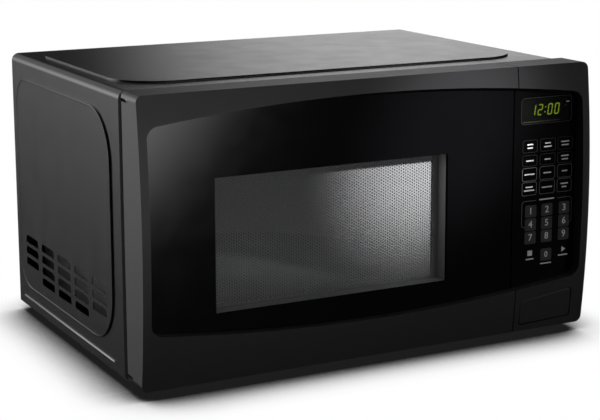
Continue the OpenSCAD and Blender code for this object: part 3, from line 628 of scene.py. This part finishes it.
def release_button():
    piece = remade("door_button", "release_button")
    roll(piece, 0.9, lambda p: p.y < BUTTON_RIM, 3)
    smooth(piece, 40)
    modify(piece, "WEIGHTED_NORMAL", keep_sharp=True)
    return finished(piece, "front_plastic", "button", "door_button")


def field_rims():
    """A rounded rim round each side's raised field."""
    foot = FIELD_FACE - 0.05
    width, height = RIM_Y[1] - RIM_Y[0], RIM_Z[1] - RIM_Z[0]
    rims = []
    for side in (-1, 1):
        bpy.ops.mesh.primitive_plane_add(
            size=1,
            location=Vector((side * foot, sum(RIM_Y) / 2, sum(RIM_Z) / 2)) * MM,
            rotation=(0, side * math.pi / 2, 0),
        )
        bpy.context.object.scale = (height * MM, width * MM, 1)
        rim = fresh("field_rim")
        for y, z, radius in RIM_CORNERS:
            with bench(rim, "VERT"):
                spot = Vector((side * foot, y, z)) * MM
                mark(rim, "verts", lambda v: (v.co - spot).length < 2 * MM)
                bpy.ops.mesh.bevel(offset=radius * MM, segments=12, affect="VERTICES")
        with bench(rim):
            bpy.ops.mesh.select_all(action="SELECT")
            bpy.ops.mesh.inset(thickness=1.5 * MM, depth=0)
            bpy.ops.mesh.delete(type="FACE")
        modify(rim, "SOLIDIFY", thickness=0.45 * MM, offset=1)
        outward(rim)
        roll(rim, 0.35, lambda p: abs(p.x) > FIELD_FACE + 0.1, 3)
        smooth(rim, 50)
        rims.append(rim)
    return finished(join(rims, "field_rims"), "case_paint", "root")


def window_reveal():
    """The bright liner of the window's opening, between the pane and the screen."""
    front, back = GLASS_BACK + 0.2, -139.3
    low = (WINDOW_X[0], front, WINDOW_Z[0])
    high = (WINDOW_X[1], back, WINDOW_Z[1])
    piece = block("window_reveal", low, high)
    with bench(piece):
        mark(piece, "faces", lambda f: abs(f.normal.y) > 0.9)
        bpy.ops.mesh.delete(type="FACE")
    modify(piece, "SOLIDIFY", thickness=0.4 * MM, offset=-1)
    outward(piece)
    return finished(piece, "screen_paint", "door")


def side_trims():
    """A bead along the foot of each side, in a light metal instead of the casing's black paint: the
    bead is real, its lightness is a painted highlight.
    """
    radius, length, middle_y, height, round_end = 0.9, 245, 27.0, 17.6, 0.6
    for side, name in ((-1, "left_bead"), (1, "right_bead")):
        bpy.ops.mesh.primitive_cylinder_add(
            vertices=16,
            radius=radius * MM,
            depth=length * MM,
            location=Vector((side * (CASE_X + 0.1), middle_y, height)) * MM,
            rotation=(math.pi / 2, 0, 0),
        )
        piece = fresh(name)
        roll(piece, round_end, lambda p: True, 3)
        smooth(piece, 60)
        finished(piece, "bead_highlight_metal", "root")


# ---------- window screen ----------

# The honeycomb: hole pitch, half the bar between holes, how many, and the first hole's middle
HOLE_PITCH = 2.65
HOLE_RIM = 0.5
HOLE_ROWS = 42
HOLE_COLUMNS = 48
SCREEN_START = (-149.0, 69.3)
JOINED = 0.05 * MM


def window_screen():
    """The perforated plate: a honeycomb of holes in a plain border."""
    low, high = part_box("door_screen")
    reach = HOLE_PITCH / math.sqrt(3)
    step = 1.5 * reach
    bpy.ops.mesh.primitive_circle_add(
        vertices=6,
        radius=reach * MM,
        fill_type="NGON",
        location=(SCREEN_START[0] * MM, low.y, SCREEN_START[1] * MM),
        rotation=(math.pi / 2, math.pi / 6, 0),
    )
    piece = fresh("window_screen")
    with bench(piece):
        bpy.ops.mesh.select_all(action="SELECT")
        bpy.ops.mesh.inset(thickness=HOLE_RIM * MM, depth=0)
        bpy.ops.mesh.delete(type="FACE")
    repeat(piece, HOLE_ROWS, (0, 0, HOLE_PITCH * MM))
    with bench(piece):
        bpy.ops.mesh.select_all(action="SELECT")
        bpy.ops.mesh.duplicate()
        bpy.ops.transform.translate(value=(step * MM, 0, HOLE_PITCH / 2 * MM))
    repeat(piece, HOLE_COLUMNS, (2 * step * MM, 0, 0))
    with bench(piece, "EDGE"):
        bpy.ops.mesh.select_all(action="SELECT")
        bpy.ops.mesh.remove_doubles(threshold=JOINED)
        rim_edge = 0.9 * reach * MM
        mark(piece, "edges", lambda e: len(e.link_faces) == 1 and e.calc_length() > rim_edge)
        bpy.ops.mesh.extrude_edges_move()
        spread_border(piece, low, high)
    modify(piece, "SOLIDIFY", thickness=high.y - low.y, offset=-1)
    outward(piece)
    return finished(piece, "screen_paint", "door", "door_screen")


def repeat(piece, count, offset):
    modify(
        piece,
        "ARRAY",
        count=count,
        use_relative_offset=False,
        use_constant_offset=True,
        constant_offset_displace=offset,
        use_merge_vertices=True,
        merge_threshold=JOINED,
    )


def spread_border(piece, low, high):
    """Moves the extruded outline out to the plate's own edges."""
    mesh = bmesh.from_edit_mesh(piece.data)
    loose = [v for v in mesh.verts if v.select]
    centre, half = (low + high) / 2, (high - low) / 2
    for vert in loose:
        away = vert.co - centre
        reach = max(abs(away.x) / half.x, abs(away.z) / half.z)
        vert.co.x, vert.co.z = centre.x + away.x / reach, centre.z + away.z / reach
    for x in (low.x, high.x):
        for z in (low.z, high.z):
            corner = Vector((x, low.y, z))
            nearest = min(loose, key=lambda v: (v.co - corner).length)
            nearest.co.x, nearest.co.z = x, z
    bmesh.update_edit_mesh(piece.data)


# ---------- keypad ----------

KEY_X = [(156.4, 172.8), (175.8, 193.2), (195.8, 212.6)]
NUMBER_X = [(160.6, 173.2), (179.0, 191.5), (198.6, 211.0)]
NUMBER_Z = [(115.2, 126.9), (102.5, 114.3), (89.9, 101.8)]
ZERO_Z = (72.0, 83.8)
KEY_Z = [(176.6, 188.4), (163.8, 174.2), (149.9, 162.4), (136.2, 149.0)]
# The bars on each key, one or two lines of them, by row and column
BAR_LENGTHS = [
    [(6.6, 6.2), (6.6, 8.6), (9.4, 8.4)],
    [(8.6,), (6.8,), (8.8, 7.4)],
    [(11.4,), (8.6,), (6.4,)],
    [(8.2, 11.6), (11.8,), (8.6, 5.6)],
]
# The bracket's outline, the gap in its top, and where its feet stop
BRACKET_X, BRACKET_Z = (156.6, 213.4), (106.0, 131.2)
BRACKET_GAP, BRACKET_FEET, BRACKET_MIDDLE = (172.6, 196.6), (160.6, 209.4), 118


def rounded_card(name, x, z, radius, line=0.0, lift=0.08, y=FACE_Y):
    """A thin rounded patch on the panel, or its outline where a line width is given."""
    piece = card(name, *x, *z, y)
    with bench(piece, "VERT"):
        bpy.ops.mesh.select_all(action="SELECT")
        bpy.ops.mesh.bevel(offset=radius * MM, segments=5, affect="VERTICES")
    if line:
        with bench(piece):
            bpy.ops.mesh.select_all(action="SELECT")
            bpy.ops.mesh.inset(thickness=line * MM, depth=0)
            bpy.ops.mesh.delete(type="FACE")
    modify(piece, "SOLIDIFY", thickness=lift * MM, offset=1)
    outward(piece)
    return piece


def bar(x, z, length, height=1.0):
    """A rounded print bar that stands for a word."""
    return rounded_card(
        "bar",
        (x - length / 2, x + length / 2),
        (z - height / 2, z + height / 2),
        height * 0.45,
        lift=0.1,
    )


def digit(text, x, z, size):
    bpy.ops.object.text_add(
        location=Vector((x, FACE_Y - 0.09, z)) * MM, rotation=(math.pi / 2, 0, 0)
    )
    sign = bpy.context.object
    sign.data.body = text
    sign.data.size = size * MM
    sign.data.extrude = 0.05 * MM
    sign.data.offset = 0.12 * MM
    sign.data.resolution_u = 3
    sign.data.align_x = "CENTER"
    sign.data.align_y = "CENTER"
    take(sign)
    bpy.ops.object.convert(target="MESH")
    return fresh(f"digit_{text}")


def named_keys(faint, lines, prints):
    """Four rows of outlined keys with bars for their words."""
    row_step = 3.2
    for row, (z0, z1) in enumerate(KEY_Z):
        for column, (x0, x1) in enumerate(KEY_X):
            outline, width = (faint, 0.3) if row < 2 else (lines, 0.45)
            outline.append(rounded_card("key", (x0, x1), (z0, z1), 2.2, width))
            text = BAR_LENGTHS[row][column]
            centre_x, centre_z = (x0 + x1) / 2, (z0 + z1) / 2
            for i, length in enumerate(text):
                height = centre_z + (row_step / 2 if len(text) == 2 else 0) - row_step * i
                prints.append(bar(centre_x, height, length, 1.15))


def number_keys(faces, digits):
    """Pads with the digits 1 to 9 in three rows, and 0 below."""
    count = 0
    for z0, z1 in NUMBER_Z:
        for x0, x1 in NUMBER_X:
            count += 1
            faces.append(rounded_card("pad", (x0, x1), (z0, z1), 1.6))
            digits.append(digit(str(count), (x0 + x1) / 2, (z0 + z1) / 2, 9.0))
    x0, x1 = NUMBER_X[1]
    z0, z1 = ZERO_Z
    faces.append(rounded_card("pad", (x0, x1), (z0, z1), 1.6))
    digits.append(digit("0", (x0 + x1) / 2, (z0 + z1) / 2, 7.6))


def keypad():
    faint, lines, prints, faces, digits = [], [], [], [], []
    named_keys(faint, lines, prints)
    number_keys(faces, digits)
    # Bracket round the first two number rows, with a bar in its gap
    lines.append(bracket())
    prints.append(bar(184.6, 131.2, 17.0, 1.2))
    # Stop: a square over a bar. Start: a triangle beside a bar, over a bar.
    prints.append(rounded_card("stop_sign", (164.3, 169.5), (78.6, 83.6), 0.5, lift=0.1))
    prints.append(bar(166.9, 75.4, 9.0, 1.2))
    prints.append(start_sign(204.6, 81.0))
    prints.append(bar(204.8, 75.4, 11.0, 1.2))
    prints.append(bar(185.2, 69.6, 12.5, 1.1))
    finished(join(faint, "key_rings_faint"), "faint_line", "root")
    finished(join(lines, "key_rings"), "key_line", "root")
    finished(join(prints, "key_prints"), "print_white", "root")
    finished(join(faces, "number_pads"), "key_face", "root")
    finished(join(digits, "number_prints"), "print_white", "root")


def bracket():
    """Two half frames, cut from one outline, around the number keys."""
    ring = rounded_card("bracket", BRACKET_X, BRACKET_Z, 3.4, 0.45)
    with bench(ring):
        for x in (*BRACKET_GAP, *BRACKET_FEET):
            bpy.ops.mesh.select_all(action="SELECT")
            bpy.ops.mesh.bisect(plane_co=(x * MM, 0, 0), plane_no=(1, 0, 0))

        def cut_away(face):
            p = face.calc_center_median() / MM
            foot = within(p.x, BRACKET_FEET) and p.z < BRACKET_MIDDLE
            return within(p.x, BRACKET_GAP) or foot

        mark(ring, "faces", cut_away)
        bpy.ops.mesh.delete(type="FACE")
        bpy.ops.mesh.select_mode(type="EDGE")
        mark(ring, "edges", lambda e: len(e.link_faces) == 1)
        bpy.ops.mesh.edge_face_add()
    return ring


def start_sign(x, z):
    bpy.ops.mesh.primitive_circle_add(
        vertices=3,
        radius=3.1 * MM,
        fill_type="NGON",
        location=Vector((x, FACE_Y, z)) * MM,
        rotation=(math.pi / 2, math.pi / 2, 0),
    )
    piece = fresh("start_sign")
    with bench(piece, "VERT"):
        bpy.ops.mesh.select_all(action="SELECT")
        bpy.ops.mesh.bevel(offset=0.4 * MM, segments=2, affect="VERTICES")
    modify(piece, "SOLIDIFY", thickness=0.1 * MM, offset=1)
    outward(piece)
    return piece


# ---------- display ----------

SEGMENTS = {"1": "bc", "2": "abged", "0": "abcdef"}
DIGIT_W, DIGIT_H, STROKE = 5.4, 10.6, 1.25
DIGIT_Z = 215.3
DIGIT_SLANT = 8
# The lit strokes: where they lie and how far they stand up
LIT_Y, LIFT = -152.32, 0.12


def stroke(x, z, length, upright):
    """One lit stroke with pointed ends."""
    half_l, half_w = length / 2 - 0.12, STROKE / 2
    dx, dz = (half_w, half_l) if upright else (half_l, half_w)
    piece = card("stroke", x - dx, x + dx, z - dz, z + dz, LIT_Y)
    with bench(piece, "VERT"):
        bpy.ops.mesh.select_all(action="SELECT")
        bpy.ops.mesh.bevel(offset=half_w * 0.62 * MM, segments=1, affect="VERTICES")
    modify(piece, "SOLIDIFY", thickness=LIFT * MM, offset=1)
    outward(piece)
    return piece


def seven_strokes(x, lit):
    """The strokes of one digit whose middle is at x."""
    w, h = DIGIT_W - STROKE, DIGIT_H - STROKE
    spots = {
        "a": (0, h / 2, w, False),
        "g": (0, 0, w, False),
        "d": (0, -h / 2, w, False),
        "b": (w / 2, h / 4, h / 2, True),
        "c": (w / 2, -h / 4, h / 2, True),
        "f": (-w / 2, h / 4, h / 2, True),
        "e": (-w / 2, -h / 4, h / 2, True),
    }
    return [stroke(x + a, DIGIT_Z + b, l, up) for k, (a, b, l, up) in spots.items() if k in lit]


def lean(piece):
    """Slants the digits to the right."""
    for vert in piece.data.vertices:
        vert.co.x += (vert.co.z - DIGIT_Z * MM) * math.tan(math.radians(DIGIT_SLANT))


# The middle of each digit of the clock, and of its colon
CLOCK = (("1", 169.4), ("2", 177.2), ("0", 188.2), ("0", 195.9))
COLON_X, COLON_DOT = (182.1, 183.4), 0.65


def display():
    lit = []
    for text, x in CLOCK:
        lit += seven_strokes(x, SEGMENTS[text])
    for z in (DIGIT_Z - 2.3, DIGIT_Z + 2.3):
        span = (z - COLON_DOT, z + COLON_DOT)
        lit.append(rounded_card("colon", COLON_X, span, 0.3, lift=LIFT, y=LIT_Y))
    glow = join(lit, "display_digits")
    lean(glow)
    finished(glow, "digit_glow", "root")
    mask = block("display_mask", (156.0, -152.3, 205.0), (208.5, -152.0, 225.5))
    roll(mask, 0.1, lambda p: True, 1)
    finished(mask, "digit_unlit", "root")
    rim = rounded_card("display_rim", (154.0, 210.5), (203.0, 227.5), 3.4, 0.35)
    finished(rim, "faint_line", "root")
    dot = rounded_card("display_dot", (204.9, 206.7), (216.8, 218.6), 0.4, lift=LIFT, y=LIT_Y)
    mark_bar = bar(205.8, 221.6, 3.4, 0.8)
    finished(join([dot, mark_bar], "display_marks"), "print_white", "root")


# ---------- light, floor and camera ----------

CAMERA_AT = Vector((-0.7092, -1.3867, 0.4574))
CAMERA_YAW = math.radians(28.36)
CAMERA_DIP = math.radians(11.21)


def heading(azimuth, elevation):
    """A direction: azimuth from the back towards the right, in degrees."""
    a, e = math.radians(azimuth), math.radians(elevation)
    return Vector((math.sin(a) * math.cos(e), math.cos(a) * math.cos(e), math.sin(e)))


# Soft boxes for the gloss: azimuth, elevation, full within and gone beyond, in degrees, power
SOFT_BOXES = [
    (31, 2.5, 2, 12, 1.6),
    (-12, 38, 10, 32, 0.6),
    (-44, 9, 8, 31, 3.9),
    (165.3, -4, 7.5, 12.0, 3.4),
    (112, 62, 10, 40, 1.8),
]
# Power of the dome on dull surfaces, and of the dark room in the gloss
DOME, ROOM = 0.2, 0.02


def studio():
    """White surroundings, a soft dome for dull light, and a dark room with soft boxes for gloss."""
    world = bpy.data.worlds.new("studio")
    bpy.context.scene.world = world
    world.use_nodes = True
    world.cycles.sampling_method = "NONE"
    room = Tree(world.node_tree)
    way = room.add("ShaderNodeTexCoord", out="Generated")
    glossy = ROOM
    for azimuth, elevation, inner, outer, power in SOFT_BOXES:
        toward = room.add(
            "ShaderNodeVectorMath",
            {"operation": "DOT_PRODUCT"},
            {0: way, 1: heading(azimuth, elevation)},
            out="Value",
        )
        glossy = glossy + power * toward.ease(
            math.cos(math.radians(outer)), math.cos(math.radians(inner))
        )
    seen = room.add("ShaderNodeLightPath", out="Is Camera Ray")
    dull = room.add("ShaderNodeLightPath", out="Is Diffuse Ray")
    light = seen + (1.0 - seen) * (DOME * dull + (1.0 - dull) * glossy)
    sky = room.add("ShaderNodeBackground", inputs={"Color": (1, 1, 1, 1), "Strength": light})
    sheet = room.tree.nodes.new("ShaderNodeOutputWorld")
    room.tree.links.new(sky.socket, sheet.inputs["Surface"])


def studio_floor():
    bpy.ops.mesh.primitive_plane_add(size=8)
    floor = fresh("floor")
    material = bpy.data.materials.new("floor")
    material.use_nodes = True
    paper = Tree(material.node_tree)
    # A white glowing floor, darkened by ambient occlusion near the object: a painted contact
    # shadow, since the lamps light and shade nothing on it
    near = paper.add(
        "ShaderNodeAmbientOcclusion",
        {"samples": 16},
        {"Distance": 0.07, "Color": (1, 1, 1, 1)},
        out="AO",
    )
    open_sky = near.ease(0.42, 0.96)
    shine = paper.add(
        "ShaderNodeEmission",
        inputs={
            "Color": paper.tint(open_sky, (0.012, 0.012, 0.012), (1.0, 1.0, 1.0)),
            "Strength": 1.0,
        },
    )
    sheet = paper.tree.nodes.new("ShaderNodeOutputMaterial")
    paper.tree.links.new(shine.socket, sheet.inputs["Surface"])
    floor.data.materials.append(material)
    floor.visible_glossy = False
    floor.visible_diffuse = False
    floor.visible_shadow = False


def lamp(name, kind, at, power, **values):
    light = bpy.data.lights.new(name, kind)
    light.energy = power
    for key, value in values.items():
        setattr(light, key, value)
    lamp_object = bpy.data.objects.new(name, light)
    lamp_object.location = at
    bpy.context.collection.objects.link(lamp_object)
    return lamp_object


def lights():
    over = lamp("overhead", "AREA", (0.0, -0.1, 1.5), 4.0, size=1.6)
    over.visible_glossy = False
    over.visible_camera = False
    aim = Vector((0.075, -0.1385, 0.195))
    beam = lamp(
        "window_beam",
        "SPOT",
        (0.42, -0.95, 0.62),
        250.0,
        spot_size=math.radians(12),
        spot_blend=1.0,
    )
    beam.data.shadow_soft_size = 0.03
    beam.rotation_euler = (aim - beam.location).to_track_quat("-Z", "Y").to_euler()
    beam.visible_glossy = False


def camera():
    lens = bpy.data.cameras.new("camera")
    lens.lens = 99.4
    lens.sensor_width = 36.0
    lens.shift_x, lens.shift_y = -0.05, -0.0667
    lens.clip_start = 0.01
    eye = bpy.data.objects.new("camera", lens)
    bpy.context.collection.objects.link(eye)
    look = Vector(
        (
            math.sin(CAMERA_YAW) * math.cos(CAMERA_DIP),
            math.cos(CAMERA_YAW) * math.cos(CAMERA_DIP),
            -math.sin(CAMERA_DIP),
        )
    )
    eye.location = CAMERA_AT
    eye.rotation_euler = look.to_track_quat("-Z", "Y").to_euler()
    bpy.context.scene.camera = eye


camera()
pressed_cabinet()
flange_band()
vent_hoods()
door_bezel()
panel_bezel()
pane("door_glass", "door_pane", "black_glass", "door")
pane("control_overlay", "panel_face", "black_glass", "root")
release_button()
field_rims()
side_trims()
window_reveal()
window_screen()
keypad()
display()
studio()
studio_floor()
lights()
bpy.context.scene.view_settings.view_transform = "Standard"
